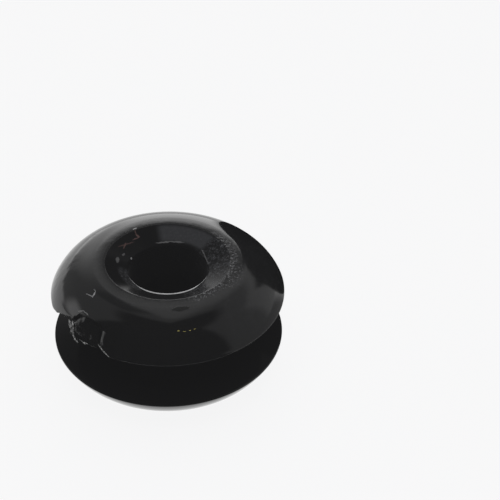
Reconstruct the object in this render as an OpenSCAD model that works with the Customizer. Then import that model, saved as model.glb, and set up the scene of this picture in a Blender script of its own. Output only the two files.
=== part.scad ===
// Rubber grommet with two domed flanges, a tapered panel groove and a dished cable bore.
// The section is built from straight cuts and true arcs, turned about Z and doubled about z = 0.
// Frame: origin at the middle of the body, +Z along the bore. Millimetres.

/* [Flanges] */
// Outside diameter, over the rims of the two flanges
flange_d = 26; // [25:0.1:28]
// Height of the whole body, from one crown to the other
body_h = 13.24; // [12.6:0.02:14]
// Outside diameter of the crown, the flat ring that the body rests on
crown_d = 16; // [15.4:0.1:17]
// Width of the crown's flat
crown_w = 1.1; // [0.6:0.1:1.4]
// Radius of the dome, from the crown's outer edge to the rim
dome_r = 5.7; // [5.4:0.1:8]
// Height of the narrow upright edge at each rim
rim_h = 0.2; // [0.1:0.05:0.4]

/* [Bore] */
// Diameter of the cable bore
bore_d = 8.8; // [7:0.1:10]
// Slope of the dish that leads from the crown down into the bore, in degrees
dish_slope = 23.5; // [16:0.5:26]
// Radius of the lip where the dish meets the bore
lip_r = 0.3; // [0.2:0.05:0.5]

/* [Panel groove] */
// Diameter of the groove's floor, which sits in the hole of the panel
groove_d = 16; // [14:0.1:18]
// Width of the groove at its floor
groove_floor_w = 3.2; // [2.4:0.1:3.6]
// Width of the groove at its mouth, between the rims
groove_mouth_w = 5.6; // [5:0.1:6]
// Radius in the corners of the groove's floor
corner_r = 0.5; // [0.2:0.1:0.8]

/* [Moulding gate] */
// Direction of the gate about the bore, in degrees from +X
gate_azimuth = -133; // [-180:1:180]
// Width of the half round pocket that the gate leaves in the upper rim
gate_pocket_w = 6; // [4:0.1:6.4]
// Depth of the pocket, measured in from the rim
gate_pocket_depth = 1.6; // [1:0.1:2]
// Gap round the torn stub that stands in the pocket
gate_gap = 0.35; // [0.2:0.05:0.5]
// Distance from the rim to the torn end of the stub
gate_stub_setback = 0.3; // [0.1:0.05:0.5]

/* [Hidden] */
$fn = 180;
rubber_black = [0.035, 0.035, 0.037];

// Length by which a cutting shape runs past what it cuts
past = 1;
// Angle at which a rounding crosses the faces it blends, in degrees
blend = 6;

flange_r = flange_d / 2;
bore_r = bore_d / 2;
groove_r = groove_d / 2;
crown_z = body_h / 2;

// Corners of the section, as [distance from the axis, height]
rim_top = [flange_r, groove_mouth_w / 2 + rim_h];
rim_low = [flange_r, groove_mouth_w / 2];
crown_edge = [crown_d / 2, crown_z];
dish_edge = crown_edge - [crown_w, 0];
dish_way = -[cos(dish_slope), sin(dish_slope)];
lip = dish_edge + dish_way * (dish_edge[0] - bore_r) / cos(dish_slope);
floor_corner = [groove_r, groove_floor_w / 2];
wall_way = unit(rim_low - floor_corner);

function unit(v) = v / norm(v);

// Centre of the circle through p and q, on the left of the way from p to q
function centre_of(p, q, radius) =
    let (half = (q - p) / 2)
    p + half + unit([-half[1], half[0]]) * sqrt(radius * radius - half * half);

// What lies outside the dome's arc, above and beyond its centre
module dome_waste() {
    centre = centre_of(rim_top, crown_edge, dome_r);
    difference() {
        translate(centre) square(2 * dome_r);
        translate(centre) circle(r = dome_r);
    }
}

// What a rounding takes out of a corner, whose two sides leave it along way_a and way_b
module corner_waste(corner, way_a, way_b, radius) {
    middle = unit(way_a + way_b);
    half_angle = acos(middle * way_a);
    centre = corner + middle * radius * cos(blend) / sin(half_angle);
    foot = (centre - corner) * middle * cos(half_angle);
    difference() {
        polygon([
            centre,
            centre + (corner + way_a * foot - centre) * 2,
            corner - middle * radius,
            centre + (corner + way_b * foot - centre) * 2
        ]);
        translate(centre) circle(r = radius);
    }
}

// Upper half of the groove, with the fillet left standing in its corner
module groove_waste() {
    mouth = rim_low + wall_way * past;
    difference() {
        polygon([[groove_r, -past], floor_corner, mouth, [mouth[0], -past]]);
        corner_waste(floor_corner, [0, -1], wall_way, corner_r);
    }
}

// Upper half of the section, from the middle plane to the crown
module half_section() {
    dish_out = dish_edge - dish_way * past;
    dish_in = lip + dish_way * past;
    difference() {
        translate([bore_r, 0]) square([flange_r - bore_r, crown_z]);
        dome_waste();
        polygon([dish_out, dish_in, [dish_in[0], dish_out[1]]]);
        corner_waste(lip, [0, -1], -dish_way, lip_r);
        groove_waste();
    }
}

module turned_body() {
    rotate_extrude() union() {
        half_section();
        mirror([0, 1]) half_section();
    }
}

// A short round bar that points outwards at the gate, in the plane of the upper rim
module gate_bar(radius, inner, outer) {
    rotate([0, 0, gate_azimuth]) translate([inner, 0, rim_top[1]])
        rotate([0, 90, 0]) cylinder(r = radius, h = outer - inner);
}

// What the torn gate left: a half round stub, cut off level with the rim's lower edge
module gate_stub() {
    root = flange_r - gate_pocket_depth;
    difference() {
        gate_bar(gate_pocket_w / 2 - gate_gap, root - gate_gap, flange_r - gate_stub_setback);
        translate([0, 0, rim_low[1] - gate_pocket_w])
            cylinder(r = flange_d, h = gate_pocket_w);
    }
}

module grommet() {
    color(rubber_black) union() {
        difference() {
            turned_body();
            gate_bar(gate_pocket_w / 2, flange_r - gate_pocket_depth, flange_d);
        }
        intersection() {
            gate_stub();
            turned_body();
        }
    }
}

grommet();
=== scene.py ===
import math

import bmesh
import bpy
from mathutils import Matrix, Vector, noise


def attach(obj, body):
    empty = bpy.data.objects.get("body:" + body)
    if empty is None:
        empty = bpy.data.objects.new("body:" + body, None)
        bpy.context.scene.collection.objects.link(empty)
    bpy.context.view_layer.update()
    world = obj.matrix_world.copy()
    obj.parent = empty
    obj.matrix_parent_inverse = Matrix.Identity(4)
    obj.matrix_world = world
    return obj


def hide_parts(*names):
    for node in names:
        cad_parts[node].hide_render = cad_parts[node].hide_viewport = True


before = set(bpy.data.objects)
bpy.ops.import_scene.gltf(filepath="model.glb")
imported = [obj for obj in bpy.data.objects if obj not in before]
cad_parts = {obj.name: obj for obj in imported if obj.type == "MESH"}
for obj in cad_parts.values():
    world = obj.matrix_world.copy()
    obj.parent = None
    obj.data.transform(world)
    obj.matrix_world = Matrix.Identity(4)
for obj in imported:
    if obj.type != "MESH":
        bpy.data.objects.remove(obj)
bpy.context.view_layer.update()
mm = 0.001
mergeGap = 1e-5
noise.seed_set(1)  # the noise vectors would differ in each run without it

# The section, as in the part: distances from the bore's axis and heights above the middle plane, in mm.
# A rounding is the length that it takes from both sides of its corner, and its number of steps.
section = {
    "rimRadius": 13.0,
    "rimTop": 3.0,
    "rimLow": 2.8,
    "crownHeight": 6.62,
    "crownOuter": 8.0,
    "crownInner": 6.9,
    "domeRadius": 5.7,
    "domeSteps": 26,
    "boreRadius": 4.4,
    "dishSlope": 23.5,
    "grooveRadius": 8.0,
    "grooveFloor": 1.6,
    "lipRounding": (0.22, 6),
    "crownRounding": (0.02, 5),
    "domeRounding": (0.75, 6),
    "cornerRounding": (0.36, 6),
    "rimRounding": (0.07, 4),
    "longestEdge": 0.35,
    "turns": 288,
}

# The torn gate in the upper rim, in mm and degrees; left and right are as seen from outside
gate = {
    "azimuth": -133,
    "outlineSteps": 96,
    "raggedness": 0.14,
    "waves": ((0.9, 1), (2.7, 0.5)),         # scale and share of the waves in the ragged outline
    "past": 2,                               # how far a cutting shape runs past the rim
    "pocketRadius": 3.0,
    "pocketDepth": 1.6,
    "pocketWidths": (1.0, 0.58),             # share of the radius left and right of the middle
    "pocketSeed": 4,
    "fineReach": 4.3,                        # finer faces this near the gate, past this radius and height
    "fineRadius": 10.3,
    "fineHeight": 2,
    "leftEdge": (0.35, 0.1),                 # how far the worn edge of the pocket reaches, and how deep it goes
    "rightEdge": (0.9, 0.24),
    "edgeBlend": 1.0,                        # left turns to right over this distance from the middle
    "edgeOverlap": 0.1,
    "edgeInset": 0.3,                        # the wear starts this far outside the pocket's back
    "edgeLowest": 2.5,
    "stubRadius": 2.28,
    "stubWidths": (0.83, 0.83),
    "stubShift": -0.72,
    "stubRoot": 0.3,                         # how far the stub reaches into the pocket's back
    "stubSeed": 11,
    "stubSunk": 0.1,
    "stubLean": 0.1,
    "leanFrom": -2.6,
    "stubEdge": 0.16,
    "stubCuts": (2, 1),
    "stubSmoothing": 5,
    "stubLumps": ((1.6, 0.03), (5, 0.012)),  # scale and height
    "stubCrease": 60,
}
gateRoot = section["rimRadius"] - gate["pocketDepth"]

# Beside the gate the rim is torn up: azimuths where that grows and where it ends in the pocket,
# the radius where it starts, and the radius and height of its edge
tornRims = [
    {"grows": (-168, -144), "ends": (-140, -144), "root": 9.5, "edge": 12.2, "height": 4.4},
    {"grows": (-117.5, -125.5), "ends": (-131, -127.5), "root": 10.5, "edge": 12.68, "height": 3.68},
]
tornEdge = {"lowest": 1.5, "even": 0.95, "uneven": 0.2, "waveLength": 3, "seed": 7}


# Unit vector in the plane of the flanges
def outwards(azimuth):
    turn = math.radians(azimuth)
    return Vector((math.cos(turn), math.sin(turn), 0))


# 0 at low, 1 at high and smooth between; low may be the larger
def smooth(value, low, high):
    share = min(max((value - low) / (high - low), 0), 1)
    return share * share * (3 - 2 * share)


# Centre of the arc through two points of the section, on its left
def arcCentre(fromPoint, toPoint, radius):
    half = (toPoint - fromPoint) / 2
    aside = Vector((-half.y, half.x)).normalized()
    return fromPoint + half + aside * math.sqrt(radius ** 2 - half.length_squared)


crownEdge = Vector((section["crownOuter"], section["crownHeight"]))
rimEdge = Vector((section["rimRadius"], section["rimTop"]))
domeCentre = arcCentre(rimEdge, crownEdge, section["domeRadius"])


# A run of edges from a vertex through points of the section
def addChain(bm, start, points):
    made = []
    for x, z in points:
        end = bm.verts.new((x, 0, z))
        bm.edges.new((start, end))
        made.append(end)
        start = end
    return made


def roundCorner(bm, corner, length, steps):
    bmesh.ops.bevel(bm, geom=[corner], offset=length, offset_type="OFFSET", segments=steps,
                    profile=0.5, affect="VERTICES", material=-1)


# Half a section, doubled about the middle plane and spun about the bore
def turnedBody(s):
    bm = bmesh.new()
    lipHeight = s["crownHeight"] - (s["crownInner"] - s["boreRadius"]) * math.tan(math.radians(s["dishSlope"]))

    first = bm.verts.new((crownEdge.x, 0, crownEdge.y))
    sweep = (crownEdge - domeCentre).angle(rimEdge - domeCentre)
    dome = bmesh.ops.spin(bm, geom=[first], cent=(domeCentre.x, 0, domeCentre.y), axis=(0, 1, 0), angle=sweep,
                          steps=s["domeSteps"])
    rimTop = [v for v in dome["geom_last"] if isinstance(v, bmesh.types.BMVert)][0]
    rimLow, floorCorner, floorMiddle = addChain(bm, rimTop, [
        (s["rimRadius"], s["rimLow"]), (s["grooveRadius"], s["grooveFloor"]), (s["grooveRadius"], 0)])
    crownInner, lip, boreMiddle = addChain(bm, first, [
        (s["crownInner"], s["crownHeight"]), (s["boreRadius"], lipHeight), (s["boreRadius"], 0)])

    roundCorner(bm, lip, *s["lipRounding"])
    roundCorner(bm, crownInner, *s["crownRounding"])
    roundCorner(bm, first, *s["domeRounding"])
    roundCorner(bm, floorCorner, *s["cornerRounding"])
    for corner in (rimTop, rimLow):
        roundCorner(bm, corner, *s["rimRounding"])
    for edge in [e for e in bm.edges if e.calc_length() > s["longestEdge"]]:
        cuts = int(edge.calc_length() / s["longestEdge"])
        bmesh.ops.subdivide_edges(bm, edges=[edge], cuts=cuts)

    bmesh.ops.mirror(bm, geom=bm.verts[:] + bm.edges[:], matrix=Matrix(), merge_dist=mergeGap, axis="Z")
    bmesh.ops.remove_doubles(bm, verts=bm.verts, dist=mergeGap)
    bmesh.ops.spin(bm, geom=bm.verts[:] + bm.edges[:], cent=(0, 0, 0), axis=(0, 0, 1), angle=math.tau,
                   steps=s["turns"], use_merge=True)
    bmesh.ops.remove_doubles(bm, verts=bm.verts, dist=mergeGap)
    bmesh.ops.recalc_face_normals(bm, faces=bm.faces)
    return bm


# Place in the gate's own directions: along the rim to the right, outwards, and up from the rim
def atGate(place):
    along = place.dot(outwards(gate["azimuth"] + 90))
    return along, place.dot(outwards(gate["azimuth"])), place.z - section["rimTop"]


# A bar that points outwards at the gate, with an uneven outline
def gateBar(radius, inner, seed, widths, shift=0.0):
    bm = bmesh.new()
    bmesh.ops.create_circle(bm, segments=gate["outlineSteps"], radius=radius, cap_ends=True)
    for v in bm.verts:
        place = Vector((v.co.x, v.co.y, seed))
        wave = sum(share * noise.noise(place * scale) for scale, share in gate["waves"])
        v.co *= 1 + gate["raggedness"] * wave / radius
        v.co.y *= widths[v.co.y > 0]
    bmesh.ops.translate(bm, vec=(0, shift, 0), verts=bm.verts)
    top = bmesh.ops.extrude_face_region(bm, geom=bm.faces[:])["geom"]
    moved = [g for g in top if isinstance(g, bmesh.types.BMVert)]
    bmesh.ops.translate(bm, vec=(0, 0, section["rimRadius"] + gate["past"] - inner), verts=moved)
    place = (Matrix.Rotation(math.radians(gate["azimuth"]), 4, "Z")
             @ Matrix.Translation((inner, 0, section["rimTop"]))
             @ Matrix.Rotation(math.radians(90), 4, "Y"))
    bmesh.ops.transform(bm, matrix=place, verts=bm.verts)
    bmesh.ops.recalc_face_normals(bm, faces=bm.faces)
    return bm


def makeObject(bm, name):
    mesh = bpy.data.meshes.new(name)
    bm.to_mesh(mesh)
    bm.free()
    piece = bpy.data.objects.new(name, mesh)
    bpy.context.scene.collection.objects.link(piece)
    return piece


# Cuts or trims one object with another and gives the result as a bmesh; both objects are used up
def combined(piece, tool, operation):
    cut = piece.modifiers.new("cut", "BOOLEAN")
    cut.operation = operation
    cut.solver = "EXACT"
    cut.object = tool
    result = piece.evaluated_get(bpy.context.evaluated_depsgraph_get())
    bm = bmesh.new()
    bm.from_mesh(result.to_mesh())
    result.to_mesh_clear()
    for used in (piece, tool):
        bpy.data.objects.remove(used)
    return bm


# Smooth faces with crisp creases, in metres
def finishMesh(bm, name, crease=38):
    bmesh.ops.scale(bm, vec=(mm, mm, mm), verts=bm.verts)
    for face in bm.faces:
        face.smooth = True
    for edge in bm.edges:
        edge.smooth = len(edge.link_faces) == 2 and edge.calc_face_angle(0) < math.radians(crease)
    return makeObject(bm, name)


def needsFineFaces(place):
    along, out, up = atGate(place)
    beside = math.hypot(along, up) < gate["fineReach"]
    return beside and out > gate["fineRadius"] and place.z > gate["fineHeight"]


# Wears the pocket's edge back towards the bore
def wearEdge(v):
    along, out, up = atGate(v.co)
    width = gate["pocketWidths"][along > 0]
    share = min(max((along / gate["edgeBlend"] + 1) / 2, 0), 1)
    reach, depth = (left + (right - left) * share for left, right in zip(gate["leftEdge"], gate["rightEdge"]))
    beyond = (math.hypot(along / width, up) - gate["pocketRadius"]) * width + gate["edgeOverlap"]
    beyond = max(beyond, 0)
    if out > gateRoot + gate["edgeInset"] and beyond < reach and v.co.z > gate["edgeLowest"]:
        v.co -= outwards(gate["azimuth"]) * depth * (1 - beyond / reach) ** 2


# Lifts the rim beside the pocket and draws it in
def tearUp(v):
    radius = math.hypot(v.co.x, v.co.y)
    azimuth = math.degrees(math.atan2(v.co.y, v.co.x))
    wave = noise.noise(Vector((azimuth / tornEdge["waveLength"], 0, tornEdge["seed"])))
    for rim in tornRims:
        if tornEdge["lowest"] < v.co.z < rim["height"] and radius > rim["root"]:
            share = smooth(azimuth, *rim["grows"]) * smooth(azimuth, *rim["ends"])
            share *= tornEdge["even"] + tornEdge["uneven"] * wave
            past = (min(radius, rim["edge"]) - rim["root"]) / (rim["edge"] - rim["root"])
            v.co.z += share * past ** 2 * (rim["height"] - v.co.z)
            shorter = radius - share * max(radius - rim["edge"], 0)
            v.co.x, v.co.y = v.co.x * shorter / radius, v.co.y * shorter / radius


# The moulding: the turned body with its gate
def mouldingMesh():
    blank = turnedBody(section)
    near = [edge for edge in blank.edges if all(needsFineFaces(v.co) for v in edge.verts)]
    bmesh.ops.subdivide_edges(blank, edges=near, cuts=2, use_grid_fill=True)
    pocket = gateBar(gate["pocketRadius"], gateRoot, gate["pocketSeed"], gate["pocketWidths"])
    body = combined(makeObject(blank, "blank"), makeObject(pocket, "pocket"), "DIFFERENCE")
    for v in body.verts:
        wearEdge(v)
    for v in body.verts:
        tearUp(v)
    return body


moulding = finishMesh(mouldingMesh(), "moulding")
print("moulding", len(moulding.data.polygons), "faces")


# The stub that the torn gate left in its pocket: part of the body's own form, worn round and leaning back
def stubMesh():
    bar = gateBar(gate["stubRadius"], gateRoot - gate["stubRoot"], gate["stubSeed"], gate["stubWidths"],
                  gate["stubShift"])
    stub = combined(makeObject(turnedBody(section), "blank"), makeObject(bar, "stubBar"), "INTERSECT")
    bmesh.ops.triangulate(stub, faces=stub.faces)
    for cuts in gate["stubCuts"]:
        coarse = [edge for edge in stub.edges if edge.calc_length() > gate["stubEdge"]]
        bmesh.ops.subdivide_edges(stub, edges=coarse, cuts=cuts)
        bmesh.ops.triangulate(stub, faces=stub.faces)
    for turn in range(gate["stubSmoothing"]):
        bmesh.ops.smooth_vert(stub, verts=stub.verts, factor=0.5, use_axis_x=True, use_axis_y=True, use_axis_z=True)
    for v in stub.verts:
        along = atGate(v.co)[0]
        v.co -= outwards(gate["azimuth"]) * (gate["stubSunk"] + gate["stubLean"] * (along - gate["leanFrom"]))
        v.co += sum((noise.noise_vector(v.co * scale) * height for scale, height in gate["stubLumps"]), Vector())
    bmesh.ops.recalc_face_normals(stub, faces=stub.faces)
    return stub


gateStub = finishMesh(stubMesh(), "gateStub", gate["stubCrease"])
print("gateStub", len(gateStub.data.polygons), "faces")

# Torn strips of rubber along the gate: places along the rim, outwards and in height, and the radius there, in mm
tears = {
    "leftTear": [
        (-3.2, 12.05, 4.05, 0.05), (-2.9, 12.25, 3.9, 0.12), (-2.65, 12.4, 3.7, 0.14),
        (-2.32, 12.6, 3.44, 0.1), (-2.1, 12.75, 3.2, 0.04)],
    "stubTear": [
        (-2.65, 12.1, 4.15, 0.05), (-2.35, 12.36, 3.85, 0.12), (-2.15, 12.54, 3.35, 0.14),
        (-1.97, 12.64, 2.8, 0.12), (-1.8, 12.64, 2.45, 0.1), (-1.5, 12.58, 2.15, 0.05)],
    "lowerTear": [
        (-1.3, 12.5, 2.78, 0.09), (-1.05, 12.55, 2.72, 0.05), (-0.6, 12.6, 2.72, 0.08),
        (-0.3, 12.62, 2.78, 0.15), (0.05, 12.6, 2.9, 0.05)],
    "rightTear": [
        (1.62, 12.55, 3.64, 0.08), (1.95, 12.62, 3.5, 0.045), (2.3, 12.68, 3.36, 0.06),
        (2.75, 12.64, 3.1, 0.055), (3.2, 12.6, 2.82, 0.03)],
}
tearShape = {"sides": 10, "longestEdge": 0.12, "cuts": 3, "lumpScale": 4, "lumps": 0.035, "crease": 80}


# A strip swept through its places ring by ring, then made uneven
def tearMesh(places, shape):
    bm = bmesh.new()
    sideways, ahead = outwards(gate["azimuth"] + 90), outwards(gate["azimuth"])
    spots = [sideways * along + ahead * out + Vector((0, 0, height)) for along, out, height, radius in places]
    turn = (spots[-1] - spots[0]).to_track_quat("Z", "Y").to_matrix().to_4x4()
    bmesh.ops.create_circle(bm, segments=shape["sides"], radius=places[0][3], cap_ends=True,
                            matrix=Matrix.Translation(spots[0]) @ turn)
    end = bm.faces[:]
    for previous, spot, near, far in zip(spots, spots[1:], places, places[1:]):
        made = bmesh.ops.extrude_face_region(bm, geom=end)["geom"]
        ring = [g for g in made if isinstance(g, bmesh.types.BMVert)]
        bmesh.ops.translate(bm, vec=spot - previous, verts=ring)
        for v in ring:
            v.co = spot + (v.co - spot) * far[3] / near[3]
        end = [g for g in made if isinstance(g, bmesh.types.BMFace) and len(g.verts) == shape["sides"]]
    bmesh.ops.recalc_face_normals(bm, faces=bm.faces)
    coarse = [edge for edge in bm.edges if edge.calc_length() > shape["longestEdge"]]
    bmesh.ops.subdivide_edges(bm, edges=coarse, cuts=shape["cuts"], use_grid_fill=True)
    for v in bm.verts:
        v.co += noise.noise_vector(v.co * shape["lumpScale"]) * shape["lumps"]
    return bm


tearPieces = [finishMesh(tearMesh(places, tearShape), name, tearShape["crease"]) for name, places in tears.items()]
print("tears", len(tearPieces))


# Node helpers for the materials and the studio's world
def addNode(tree, kind, **settings):
    node = tree.nodes.new(kind)
    for name, value in settings.items():
        setattr(node, name, value)
    return node


def feed(tree, socket, value):
    if isinstance(value, bpy.types.NodeSocket):
        tree.links.new(value, socket)
    else:
        socket.default_value = value


def calc(tree, operation, first, second=0.0, clamp=False):
    node = addNode(tree, "ShaderNodeMath", operation=operation, use_clamp=clamp)
    feed(tree, node.inputs[0], first)
    feed(tree, node.inputs[1], second)
    return node.outputs[0]


def plus(tree, first, second):
    return calc(tree, "ADD", first, second)


def minus(tree, first, second):
    return calc(tree, "SUBTRACT", first, second)


def times(tree, first, second):
    return calc(tree, "MULTIPLY", first, second)


def highest(tree, first, second):
    return calc(tree, "MAXIMUM", first, second)


# 0 at low, 1 at high and smooth between; low may be the larger
def ramp(tree, value, low, high):
    node = addNode(tree, "ShaderNodeMapRange", interpolation_type="SMOOTHSTEP")
    feed(tree, node.inputs["Value"], value)
    for socket, number in (("From Min", low), ("From Max", high), ("To Min", 0), ("To Max", 1)):
        feed(tree, node.inputs[socket], number)
    return node.outputs["Result"]


# 1 between the two middle numbers, 0 beyond the outer two
def span(tree, value, limits):
    return times(tree, ramp(tree, value, limits[0], limits[1]), ramp(tree, value, limits[3], limits[2]))


def dot(tree, vector, direction):
    node = addNode(tree, "ShaderNodeVectorMath", operation="DOT_PRODUCT")
    feed(tree, node.inputs[0], vector)
    feed(tree, node.inputs[1], direction)
    return node.outputs["Value"]


def separate(tree, vector):
    node = addNode(tree, "ShaderNodeSeparateXYZ")
    feed(tree, node.inputs[0], vector)
    return node.outputs


# Distance from the bore's axis
def radiusOf(tree, position):
    x, y, z = separate(tree, position)
    return calc(tree, "SQRT", plus(tree, times(tree, x, x), times(tree, y, y)))


# Cosine of the turn between a place and an azimuth
def cosineTo(tree, position, radius, azimuth):
    return calc(tree, "DIVIDE", dot(tree, position, outwards(azimuth)), highest(tree, radius, 0.1))


def mixColour(tree, share, first, second):
    node = addNode(tree, "ShaderNodeMix", data_type="RGBA")
    feed(tree, node.inputs[0], share)
    feed(tree, node.inputs[6], first)
    feed(tree, node.inputs[7], second)
    return node.outputs[2]


def mixShaders(tree, share, first, second):
    node = addNode(tree, "ShaderNodeMixShader")
    for socket, value in zip(node.inputs, (share, first, second)):
        feed(tree, socket, value)
    return node.outputs[0]


def noiseAt(tree, position, scale, detail=3.0, roughness=0.5, distortion=0.0):
    node = addNode(tree, "ShaderNodeTexNoise")
    feed(tree, node.inputs["Vector"], position)
    for socket, number in (("Scale", scale), ("Detail", detail), ("Roughness", roughness), ("Distortion", distortion)):
        feed(tree, node.inputs[socket], number)
    return node.outputs


# Object coordinates in mm
def millimetres(tree):
    place = addNode(tree, "ShaderNodeTexCoord").outputs["Object"]
    scaled = addNode(tree, "ShaderNodeVectorMath", operation="SCALE")
    feed(tree, scaled.inputs[0], place)
    feed(tree, scaled.inputs["Scale"], 1 / mm)
    return scaled.outputs[0]


def newGroup(name, inputs, outputs):
    group = bpy.data.node_groups.new(name, "ShaderNodeTree")
    for label, kind, value in inputs:
        socket = group.interface.new_socket(label, in_out="INPUT", socket_type=kind)
        if value is not None:
            socket.default_value = value
    for label in outputs:
        group.interface.new_socket(label, in_out="OUTPUT", socket_type="NodeSocketFloat")
    return group, addNode(group, "NodeGroupInput").outputs, addNode(group, "NodeGroupOutput").inputs


def useGroup(tree, group, **values):
    node = addNode(tree, "ShaderNodeGroup", node_tree=group)
    for name, value in values.items():
        feed(tree, node.inputs[name], value)
    return node.outputs


def newMaterial(name):
    material = bpy.data.materials.new(name)
    material.use_nodes = True
    return material, material.node_tree, material.node_tree.nodes["Principled BSDF"]


# Marks are on the upper flange only: they start between these heights, in mm
upperFlange = (2.0, 3.0)


def onUpperFlange(tree, position):
    return ramp(tree, separate(tree, position)[2], *upperFlange)


# A patch on a flange: a sector about an azimuth between two radii, 1 inside and 0 outside
def patchGroup():
    group, given, made = newGroup("flangePatch", [
        ("Position", "NodeSocketVector", None), ("Direction", "NodeSocketVector", (1, 0, 0)),
        ("Spread", "NodeSocketFloat", 30), ("Inner", "NodeSocketFloat", 5), ("Outer", "NodeSocketFloat", 8),
        ("Edge", "NodeSocketFloat", 0.6)], ["Mask"])
    radius = radiusOf(group, given["Position"])
    along = calc(group, "DIVIDE", dot(group, given["Position"], given["Direction"]), radius)
    offAngle = calc(group, "ARCCOSINE", calc(group, "MINIMUM", along, 1))
    halfLength = times(group, radius, calc(group, "RADIANS", given["Spread"]))
    beyond = minus(group, times(group, radius, offAngle), halfLength)
    inside = ramp(group, radius, minus(group, given["Inner"], given["Edge"]), given["Inner"])
    outside = ramp(group, radius, plus(group, given["Outer"], given["Edge"]), given["Outer"])
    sector = ramp(group, beyond, given["Edge"], times(group, given["Edge"], -1))
    upper = onUpperFlange(group, given["Position"])
    feed(group, made["Mask"], times(group, times(group, inside, outside), times(group, sector, upper)))
    return group


# Dust that clings in specks, and a soft haze under it: two noises, with their scale as a share of the grain
dustLook = {
    "grain": 8,
    "cover": 0.5,
    "coarse": {"scale": 0.45, "detail": 5, "roughness": 0.62, "distortion": 0.6, "share": 0.6},
    "fine": {"scale": 2.2, "detail": 3, "roughness": 0.6, "distortion": 0.0, "share": 0.4},
    "speckEdge": 0.14,
    "hazeEdge": (0.35, 0.7),
}


def dustGroup(look):
    group, given, made = newGroup("clingingDust", [
        ("Position", "NodeSocketVector", None), ("Grain", "NodeSocketFloat", 3), ("Cover", "NodeSocketFloat", 0.5)],
        ["Specks", "Haze"])
    coarse, fine = (noiseAt(group, given["Position"], times(group, given["Grain"], part["scale"]), part["detail"],
                            part["roughness"], part["distortion"])["Fac"] for part in (look["coarse"], look["fine"]))
    both = plus(group, times(group, coarse, look["coarse"]["share"]), times(group, fine, look["fine"]["share"]))
    level = minus(group, 1.0, given["Cover"])
    feed(group, made["Specks"], ramp(group, both, level, plus(group, level, look["speckEdge"])))
    feed(group, made["Haze"], ramp(group, coarse, *look["hazeEdge"]))
    return group


# A stroke on the surface: 1 along a flat ellipse and 0 beyond it
strokeShape = {"edge": (1.5, 0.6), "halfDepth": 0.6}


def strokeGroup(shape):
    group, given, made = newGroup("surfaceStroke", [
        ("Position", "NodeSocketVector", None), ("Centre", "NodeSocketVector", (0, 0, 0)),
        ("Along", "NodeSocketVector", (1, 0, 0)), ("Across", "NodeSocketVector", (0, 1, 0)),
        ("Upright", "NodeSocketVector", (0, 0, 1))], ["Mask"])
    offset = addNode(group, "ShaderNodeVectorMath", operation="SUBTRACT")
    feed(group, offset.inputs[0], given["Position"])
    feed(group, offset.inputs[1], given["Centre"])
    total = 0.0
    for name in ("Along", "Across", "Upright"):
        part = dot(group, offset.outputs[0], given[name])
        total = plus(group, total, times(group, part, part))
    feed(group, made["Mask"], ramp(group, total, *shape["edge"]))
    return group


flangePatch = patchGroup()
clingingDust = dustGroup(dustLook)
surfaceStroke = strokeGroup(strokeShape)

# Dust and haze on the upper flange, and a painted reflection on the far dish: azimuth and spread in degrees, radii in
# mm, how dense each part is
dustPatches = {
    "rightSpecks": {"sector": (6, 36), "radii": (4.9, 7.2), "edge": 0.9, "specks": 0.3, "haze": 0.04, "evenLevel": 0},
    "rightCrown": {"sector": (-24, 16), "radii": (6.8, 8.2), "edge": 0.8, "specks": 0.2, "haze": 0.02, "evenLevel": 0},
    "lowerRight": {"sector": (-50, 22), "radii": (5.1, 7.4), "edge": 0.8, "specks": 0.36, "haze": 0.02, "evenLevel": 0},
    # painted reflection: the far dish's lighter patch, laid on in the dust colour
    "farDishReflection": {"sector": (69, 30), "radii": (5.1, 6.5), "edge": 0.5, "specks": 0, "haze": 0.03, "evenLevel": 0.12},
    "leftSmear": {"sector": (-152, 26), "radii": (4.7, 5.3), "edge": 0.4, "specks": 0.1, "haze": 0.08, "evenLevel": 0.02},
    "rightDome": {"sector": (-18, 40), "radii": (8.6, 12), "edge": 1.2, "specks": 0.02, "haze": 0.02, "evenLevel": 0},
    "crown": {"sector": (-70, 60), "radii": (7.2, 8.3), "edge": 0.8, "specks": 0.05, "haze": 0.01, "evenLevel": 0},
}
# Bumps in the surface: their scale and height in mm, and the patch that they are on if not all over
bumps = {
    "waves": {"scale": 0.45, "height": 0.009},
    "leftLumps": {"scale": 0.7, "height": 0.05, "sector": (176, 14), "radii": (10.4, 12.4), "edge": 1.2},
    "farBumps": {"scale": 2.8, "height": 0.02, "sector": (141, 8), "radii": (10.2, 10.9), "edge": 0.5},
    "peel": {"scale": 6, "height": 0.0006},
}
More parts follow.
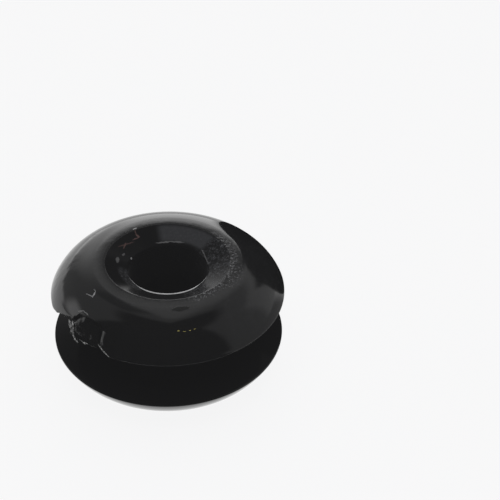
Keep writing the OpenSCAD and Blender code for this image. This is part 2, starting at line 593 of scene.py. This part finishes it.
# Small marks, painted glints and highlights, and the painted shade of a dent, each from one place to another on the
# upper surface: radius in mm and azimuth in degrees
strokes = {
    # painted shade: the shallow dent is only painted darker and rougher, not shaped
    "paintedDentShade": {"kind": "dull", "from": (8.48, -88), "to": (8.48, -75.4), "half": 0.32, "share": 0.9},
    # painted highlight along the raised flap of a small nick
    "nickHighlightFoot": {"kind": "pale", "from": (10.05, -150.5), "to": (9.76, -145), "half": 0.06, "share": 0.3},
    "nickHighlightStem": {"kind": "pale", "from": (9.82, -145), "to": (9.15, -147.2), "half": 0.07, "share": 0.45},
    "nickHighlightHook": {"kind": "pale", "from": (9.2, -146.6), "to": (9.1, -150), "half": 0.05, "share": 0.2},
    "scuffEnd": {"kind": "pale", "from": (7.15, 123.5), "to": (7.1, 119.5), "half": 0.08, "share": 0.45},
    "scuffDown": {"kind": "scuff", "from": (6.9, 122), "to": (6.42, 124), "half": 0.07, "share": 0.32},
    "scuffTurn": {"kind": "scuff", "from": (6.5, 124.5), "to": (5.94, 122.5), "half": 0.08, "share": 0.4},
    "scuffBack": {"kind": "scuff", "from": (5.98, 122), "to": (5.96, 131.5), "half": 0.08, "share": 0.36},
    "scuffLong": {"kind": "scuff", "from": (6.3, 151), "to": (5.72, 132), "half": 0.09, "share": 0.22},
    "scuffShort": {"kind": "scuff", "from": (5.76, 149), "to": (6.1, 140.5), "half": 0.08, "share": 0.34},
    "smudge": {"kind": "pale", "from": (5.6, 175), "to": (5.72, 165), "half": 0.2, "share": 0.13},
    "spotLow": {"kind": "pale", "from": (4.47, 157), "to": (4.5, 153), "half": 0.1, "share": 0.4},
    "spotHigh": {"kind": "pale", "from": (5.36, 159), "to": (5.36, 154), "half": 0.14, "share": 0.12},
    # painted glints on the far lip
    "glintLeft": {"kind": "pale", "from": (4.72, 106), "to": (4.8, 85), "half": 0.1, "share": 0.16},
    "glintRight": {"kind": "pale", "from": (4.78, 88), "to": (4.86, 68), "half": 0.1, "share": 0.13},
    # painted highlights along the bore's lip on the right
    "rightLipHighlight": {"kind": "pale", "from": (4.52, 6), "to": (4.56, 25), "half": 0.06, "share": 0.16},
    "upperLipHighlight": {"kind": "pale", "from": (4.6, 22), "to": (4.85, 38), "half": 0.06, "share": 0.14},
    # painted highlight along the pocket's upper edge
    "pocketShine": {"kind": "pale", "from": (11.6, -145.6), "to": (11.28, -142.6), "half": 0.07, "share": 0.22},
    "pocketShineEnd": {"kind": "pale", "from": (11.28, -143), "to": (11.3, -138), "half": 0.06, "share": 0.2},
    "fleckA": {"kind": "fleck", "from": (10.86, -85.6), "to": (10.86, -84.3), "half": 0.035, "share": 0.8},
    "fleckB": {"kind": "fleck", "from": (10.98, -82.6), "to": (10.96, -81.2), "half": 0.03, "share": 0.6},
    "fleckC": {"kind": "fleck", "from": (10.94, -79.6), "to": (10.94, -78.4), "half": 0.04, "share": 0.8},
    "fleckD": {"kind": "fleck", "from": (10.88, -76.8), "to": (10.86, -75.4), "half": 0.03, "share": 0.6},
}
# Strokes follow a slightly shaken position, so that none is straight: scale, and width in mm
shake = {"scale": 2.6, "width": 0.3}
# The worn lip, which also carries a painted highlight along its near side: its middle, how far round it goes, and how
# far out from the bore, in mm
lipWearAndHighlight = {
    "azimuth": -90,
    "edge": (0.3, 0.6),               # cosines of the turn from its middle
    "reach": (-0.1, 0.0, 0.13, 0.2),
    "wider": 2.2,                     # how much wider it grows towards its middle
    "share": 0.9,
    "patchScale": 0.7,
    "patchLeast": 0.55,
    "patchMore": 0.9,
}
rubberLook = {
    "colour": (0.005, 0.005, 0.0052, 1),
    # dust, also the colour of the painted reflection on the far dish
    "dust": (0.205, 0.21, 0.228, 1),
    # the painted shade of the dent
    "dull": (0.002, 0.002, 0.002, 1),
    # pale marks, and the colour of the painted highlights and glints
    "pale": (0.52, 0.52, 0.53, 1),
    "scuff": (0.19, 0.108, 0.1, 1),
    "fleck": (0.5, 0.43, 0.12, 1),
    "haze": (0.008, 0.008, 0.0083, 1),  # a faint glow that stands for the lifted blacks of the photograph
    "roughness": 0.1,
    "dustRoughness": 1.2,
    "markRoughness": 0.7,
    "ior": 1.5,
    "glossSpecular": 0.5,
    "dullSpecular": 0.05,
}


def patchMask(tree, position, patch):
    azimuth, spread = patch["sector"]
    inner, outer = patch["radii"]
    return useGroup(tree, flangePatch, Position=position, Direction=outwards(azimuth), Spread=spread,
                    Inner=inner, Outer=outer, Edge=patch["edge"])["Mask"]


# Dust, with the painted reflection on the far dish
def dustAndReflectionCover(tree, position):
    dust = useGroup(tree, clingingDust, Position=position, Grain=dustLook["grain"], Cover=dustLook["cover"])
    cover = 0.0
    for patch in dustPatches.values():
        level = plus(tree, times(tree, dust["Specks"], patch["specks"]), times(tree, dust["Haze"], patch["haze"]))
        level = plus(tree, level, patch["evenLevel"])
        cover = highest(tree, cover, times(tree, patchMask(tree, position, patch), level))
    return cover


# Place on the upper surface, in mm, and the direction that it faces
def onSurface(radius, azimuth):
    slope = math.radians(section["dishSlope"])
    if radius >= section["crownOuter"]:
        tilt = math.asin((radius - domeCentre.x) / section["domeRadius"])
        height = domeCentre.y + section["domeRadius"] * math.cos(tilt)
    else:
        tilt = -slope if radius < section["crownInner"] else 0
        height = section["crownHeight"] + min(radius - section["crownInner"], 0) * math.tan(slope)
    facing = outwards(azimuth) * math.sin(tilt) + Vector((0, 0, math.cos(tilt)))
    return outwards(azimuth) * radius + Vector((0, 0, height)), facing


def strokeMask(tree, position, stroke):
    start, facing = onSurface(*stroke["from"])
    end, facing = onSurface(*stroke["to"])
    along = (end - start) / 2
    across = along.cross(facing).normalized() / stroke["half"]
    mask = useGroup(tree, surfaceStroke, Position=position, Centre=(start + end) / 2,
                    Along=along / along.length_squared, Across=across,
                    Upright=facing / strokeShape["halfDepth"])["Mask"]
    return times(tree, mask, stroke["share"])


def shaken(tree, position):
    drift = addNode(tree, "ShaderNodeVectorMath", operation="MULTIPLY_ADD")
    feed(tree, drift.inputs[0], noiseAt(tree, position, shake["scale"], 2)["Color"])
    feed(tree, drift.inputs[1], (shake["width"], shake["width"], 0))
    feed(tree, drift.inputs[2], (-shake["width"] / 2, -shake["width"] / 2, 0))
    moved = addNode(tree, "ShaderNodeVectorMath", operation="ADD")
    feed(tree, moved.inputs[0], position)
    feed(tree, moved.inputs[1], drift.outputs[0])
    return moved.outputs[0]


# Pale band round the bore's lip: wear, and a painted highlight on its near side
def lipWearAndHighlightMask(tree, position, look):
    radius = radiusOf(tree, position)
    toward = cosineTo(tree, position, radius, look["azimuth"])
    wider = plus(tree, times(tree, ramp(tree, toward, look["edge"][1], 1.0), look["wider"]), 1.0)
    beyond = calc(tree, "DIVIDE", minus(tree, radius, section["boreRadius"]), wider)
    wornAndLit = times(tree, span(tree, beyond, look["reach"]), ramp(tree, toward, *look["edge"]))
    patches = times(tree, noiseAt(tree, position, look["patchScale"], 2)["Fac"], look["patchMore"])
    patchy = times(tree, plus(tree, look["patchLeast"], patches), look["share"])
    return times(tree, times(tree, wornAndLit, onUpperFlange(tree, position)), patchy)


def bumpHeight(tree, position):
    total = 0.0
    for bump in bumps.values():
        raised = noiseAt(tree, position, bump["scale"], 2)["Fac"]
        if "sector" in bump:
            raised = times(tree, raised, patchMask(tree, position, bump))
        total = plus(tree, total, times(tree, raised, bump["height"]))
    return total


# Black rubber, dusty in patches, with faint scuffs, a worn bore lip, painted highlights, glints and a painted
# reflection, the painted shade of a shallow dent, and a faint painted glow all over
def rubberMaterial(look, name, specular):
    material, tree, shader = newMaterial(name)
    shader.inputs["IOR"].default_value = look["ior"]
    shader.inputs["Specular IOR Level"].default_value = specular
    # a faint painted glow all over the rubber
    shader.inputs["Emission Color"].default_value = look["haze"]
    shader.inputs["Emission Strength"].default_value = 1
    position = millimetres(tree)

    cover = dustAndReflectionCover(tree, position)
    colour = mixColour(tree, cover, look["colour"], look["dust"])
    kinds = {"dull": 0.0, "pale": 0.0, "scuff": 0.0, "fleck": 0.0}
    strokePosition = shaken(tree, position)
    for stroke in strokes.values():
        kinds[stroke["kind"]] = highest(tree, kinds[stroke["kind"]], strokeMask(tree, strokePosition, stroke))
    kinds["pale"] = highest(tree, kinds["pale"], lipWearAndHighlightMask(tree, position, lipWearAndHighlight))
    for kind, mask in kinds.items():
        colour = mixColour(tree, mask, colour, look[kind])
    feed(tree, shader.inputs["Base Color"], colour)

    marked = highest(tree, kinds["dull"], highest(tree, kinds["pale"], kinds["scuff"]))
    roughness = plus(tree, look["roughness"], times(tree, cover, look["dustRoughness"]))
    roughness = calc(tree, "ADD", roughness, times(tree, marked, look["markRoughness"]), clamp=True)
    feed(tree, shader.inputs["Roughness"], roughness)

    bump = addNode(tree, "ShaderNodeBump")
    bump.inputs["Strength"].default_value = 1
    bump.inputs["Distance"].default_value = mm
    feed(tree, bump.inputs["Height"], bumpHeight(tree, position))
    feed(tree, shader.inputs["Normal"], bump.outputs[0])
    return material


# Torn rubber: paler and dull where it was stretched, and its pale streaks also stand for the highlights on the torn
# edges, a painted highlight
tornLook = {
    "dark": (0.06, 0.06, 0.06, 1),
    "pale": (0.33, 0.33, 0.33, 1),
    "roughness": 0.3,
    "streakScale": 3.5,
    "streakEdge": (0.35, 0.65),
}


def tornMaterial(look):
    material, tree, shader = newMaterial("tornRubberAndHighlight")
    streaks = ramp(tree, noiseAt(tree, millimetres(tree), look["streakScale"])["Fac"], *look["streakEdge"])
    feed(tree, shader.inputs["Base Color"], mixColour(tree, streaks, look["dark"], look["pale"]))
    shader.inputs["Roughness"].default_value = look["roughness"]
    return material


# The groove and the dishes at both mouths of the bore are dull: the dishes lie past this height, in mm
dullPlaces = {"dishFrom": 5.3, "slack": 0.1}


def isDull(place):
    radius, height = math.hypot(place.x, place.y), abs(place.z)
    inDish = height > dullPlaces["dishFrom"] and radius < section["crownInner"]
    fromFloor = radius - section["grooveRadius"] + dullPlaces["slack"]
    fromRim = section["rimRadius"] - dullPlaces["slack"] - radius
    return inDish or (height < section["rimLow"] and fromFloor > 0 and fromRim > 0)


rubber = rubberMaterial(rubberLook, "glossBlackRubber", rubberLook["glossSpecular"])
dull = rubberMaterial(rubberLook, "dullBlackRubber", rubberLook["dullSpecular"])
torn = tornMaterial(tornLook)
for piece in (moulding, gateStub, *tearPieces):
    piece.data.materials.append(torn if piece in tearPieces else rubber)
    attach(piece, "root")
moulding.data.materials.append(dull)
for face in moulding.data.polygons:
    face.material_index = int(isDull(face.center / mm))
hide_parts("grommet")
print("rubber")

# Camera: fitted to the outline, the rims and the bore in the photograph
camera = {
    "distance": 0.12446,
    "elevation": 39.53,
    "roll": -1.18,
    "focalPixels": 1090.6,
    "originAt": (167.77, 304.98),
    "framePixels": 500,
    "sensor": 36,
    "clipStart": 0.01,
}


def cameraMatrix(c):
    tilt = math.radians(c["elevation"])
    right = Vector((1, 0, 0))
    up = Vector((0, math.sin(tilt), math.cos(tilt)))
    ahead = Vector((0, math.cos(tilt), -math.sin(tilt)))
    place = -ahead * c["distance"]
    across = c["originAt"][0] - c["framePixels"] / 2
    above = c["framePixels"] / 2 - c["originAt"][1]
    yaw = math.atan2(across, c["focalPixels"])
    pitch = math.atan2(above, math.hypot(c["focalPixels"], across))
    roll = math.radians(c["roll"])
    up, ahead = math.cos(pitch) * up + math.sin(pitch) * ahead, math.cos(pitch) * ahead - math.sin(pitch) * up
    right, ahead = math.cos(yaw) * right + math.sin(yaw) * ahead, math.cos(yaw) * ahead - math.sin(yaw) * right
    right, up = math.cos(roll) * right + math.sin(roll) * up, math.cos(roll) * up - math.sin(roll) * right
    return Matrix.Translation(place) @ Matrix((right, up, -ahead)).transposed().to_4x4()


cameraData = bpy.data.cameras.new("camera")
cameraData.sensor_width = camera["sensor"]
cameraData.lens = camera["focalPixels"] * cameraData.sensor_width / camera["framePixels"]
cameraData.clip_start = camera["clipStart"]
cameraObject = bpy.data.objects.new("camera", cameraData)
cameraObject.matrix_world = cameraMatrix(camera)
bpy.context.scene.collection.objects.link(cameraObject)
bpy.context.scene.camera = cameraObject

# The floor shows a pale colour to the camera and in the gloss, and the camera still sees some of its shadow
floorLook = {
    "halfWidth": 3,               # in m
    "paper": (0.86, 0.86, 0.86, 1),
    "roughness": 0.9,
    "shown": (0.957, 0.957, 0.962, 1),
    "shownShare": 0.93,
    "gloss": 0.95,                # its brightness in reflections
    # The floor's glow in the gloss is painted: a brighter ring under the lower dome, and a painted shadow under the
    # object
    "ring": (8.5, 10, 15, 18),    # brighter under the lower dome, radii in mm
    "ringGloss": 0.5,
    "under": (9.5, 7.5),          # dark under the object
}
# Black cards painted as dark zones into the floor's glow, seen only in the gloss, as painted shade: the azimuth of the
# middle, radii in mm, how far round they go as cosines, and what they take away
farOut = (3000, 3001)
floorCards = {
    "near": {"azimuth": -112, "radii": (14.5, 16, *farOut), "edge": (0.2, 0.42), "share": 1.0},
    "right": {"azimuth": -8, "radii": (13.5, 15, *farOut), "edge": (0.72, 0.88), "share": 0.75},
}


# How bright the floor is in reflections, place by place
def floorGloss(tree, look):
    place = millimetres(tree)
    radius = radiusOf(tree, place)
    covered = ramp(tree, radius, *look["under"])
    for card in floorCards.values():
        toward = cosineTo(tree, place, radius, card["azimuth"])
        carded = times(tree, span(tree, radius, card["radii"]), ramp(tree, toward, *card["edge"]))
        covered = highest(tree, covered, times(tree, carded, card["share"]))
    lit = plus(tree, times(tree, span(tree, radius, look["ring"]), look["ringGloss"]), look["gloss"])
    return times(tree, lit, minus(tree, 1.0, covered))


def paperMaterial(look):
    material, tree, sheet = newMaterial("paper")
    sheet.inputs["Base Color"].default_value = look["paper"]
    sheet.inputs["Roughness"].default_value = look["roughness"]
    gloss = addNode(tree, "ShaderNodeEmission")
    feed(tree, gloss.inputs["Strength"], floorGloss(tree, look))
    shown = addNode(tree, "ShaderNodeEmission")
    shown.inputs["Color"].default_value = look["shown"]
    rays = addNode(tree, "ShaderNodeLightPath").outputs
    toCamera = mixShaders(tree, times(tree, rays["Is Camera Ray"], look["shownShare"]), sheet.outputs[0],
                          shown.outputs[0])
    feed(tree, tree.nodes["Material Output"].inputs["Surface"],
         mixShaders(tree, rays["Is Glossy Ray"], toCamera, gloss.outputs[0]))
    return material


bm = bmesh.new()
bmesh.ops.create_grid(bm, x_segments=2, y_segments=2, size=floorLook["halfWidth"])
floor = makeObject(bm, "floor")
floor.location.z = -section["crownHeight"] * mm
floor.data.materials.append(paperMaterial(floorLook))

# A round black flag close by on the right, which only the gloss sees, in mm
flagLook = {"middle": (20.2, 14, 6.4), "radius": 13, "halfThickness": 6.6, "colour": (0.003, 0.003, 0.003, 1)}

bm = bmesh.new()
bmesh.ops.create_uvsphere(bm, u_segments=48, v_segments=24, radius=1)
bmesh.ops.scale(bm, vec=(flagLook["radius"], flagLook["halfThickness"], flagLook["radius"]), verts=bm.verts)
bmesh.ops.translate(bm, vec=flagLook["middle"], verts=bm.verts)
flag = finishMesh(bm, "flag")

flock, tree, shader = newMaterial("flock")
shader.inputs["Base Color"].default_value = flagLook["colour"]
shader.inputs["Roughness"].default_value = 1
shader.inputs["Specular IOR Level"].default_value = 0
for ray in ("camera", "shadow", "diffuse", "transmission", "volume_scatter"):
    setattr(flag, "visible_" + ray, False)
flag.data.materials.append(flock)

# Soft lamps give the plain light and don't show as shapes in the gloss. Places and sizes are in m, and a lamp
# of level 1 alone shows a white surface that faces it as white.
lamps = {
    "overhead": {"at": (0, 0.05, 0.5), "size": 0.7, "level": 0.8},
    "front": {"at": (0, -0.5, 0.12), "size": 0.4, "level": 0.4},
}
for name, look in lamps.items():
    place = Vector(look["at"])
    lampData = bpy.data.lights.new(name, "AREA")
    lampData.size = look["size"]
    lampData.energy = look["level"] * math.pi ** 2 * place.length_squared
    lamp = bpy.data.objects.new(name, lampData)
    lamp.matrix_world = Matrix.Translation(place) @ place.to_track_quat("Z", "Y").to_matrix().to_4x4()
    lamp.visible_glossy = False
    bpy.context.scene.collection.objects.link(lamp)

# The studio as the gloss shows it: bearings from straight back, positive to the left, and elevations, in
# degrees, and radiance. A window that reaches straight down or up has a limit past it.
below, above = (-95, -91), (91, 95)
softboxes = {
    "room": {"bearing": (-130, -122, 88, 96), "elevation": (*below, 58, 68), "radiance": 0.25},
    "rightGlow": {"bearing": (-84, -72, -20, -8), "elevation": (-20, -5, 38, 48), "radiance": 0.25},
    "backPane": {"bearing": (-12, -8, 3, 13), "elevation": (-20, 24, 33, 35.5), "radiance": 1.4},
    "backGlow": {"bearing": (-12, -8, 6, 40), "elevation": (-60, 0, 24, 44), "radiance": 1.2},
    "horizonLeft": {"bearing": (8, 18, 58, 66), "elevation": (*below, 3, 9), "radiance": 0.75},
    "leftPane": {"bearing": (58, 70, 84, 96), "elevation": (0, 14, 24, 33), "radiance": 0.9},
    "lowLeft": {"bearing": (72, 84, 100, 108), "elevation": (*below, -2, 8), "radiance": 1.1},
    "ceilingBack": {"bearing": (-35, -10, 8, 16), "elevation": (38, 44, 74, 84), "radiance": 0.27},
    "ceilingTop": {"bearing": (-55, -30, 30, 50), "elevation": (60, 66, *above), "radiance": 0.25},
}
# Black cards in front of them, and how much each takes away
blackCards = {
    "rearRight": {"bearing": (-56, -50, -14, -10), "elevation": (*below, 30, 38), "share": 1.0},
    "paneTop": {"bearing": (-20, -14, 3, 7), "elevation": (33.5, 35.5, 37, 40), "share": 0.9},
    "leftGap": {"bearing": (10, 15, 32, 40), "elevation": (44, 48, 64, 70), "share": 0.6},
}
darkness = 0.004
backdrop = 0.93

world = bpy.data.worlds.new("studio")
world.use_nodes = True
bpy.context.scene.world = world
tree = world.node_tree
x, y, z = separate(tree, addNode(tree, "ShaderNodeTexCoord").outputs["Generated"])
bearing = calc(tree, "DEGREES", calc(tree, "ARCTAN2", times(tree, x, -1), y))
elevation = calc(tree, "DEGREES", calc(tree, "ARCSINE", z))


def paneMask(pane):
    return times(tree, span(tree, bearing, pane["bearing"]), span(tree, elevation, pane["elevation"]))


total = darkness
for box in softboxes.values():
    total = plus(tree, total, times(tree, paneMask(box), box["radiance"]))
for card in blackCards.values():
    total = times(tree, total, minus(tree, 1.0, times(tree, paneMask(card), card["share"])))
# The camera sees a pale backdrop in its place
seen = addNode(tree, "ShaderNodeLightPath").outputs["Is Camera Ray"]
total = plus(tree, times(tree, total, minus(tree, 1.0, seen)), times(tree, seen, backdrop))
feed(tree, tree.nodes["Background"].inputs["Strength"], total)
feed(tree, tree.nodes["Background"].inputs["Color"], (1, 1, 1, 1))
print("studio")

bpy.context.scene.view_settings.view_transform = "Standard"
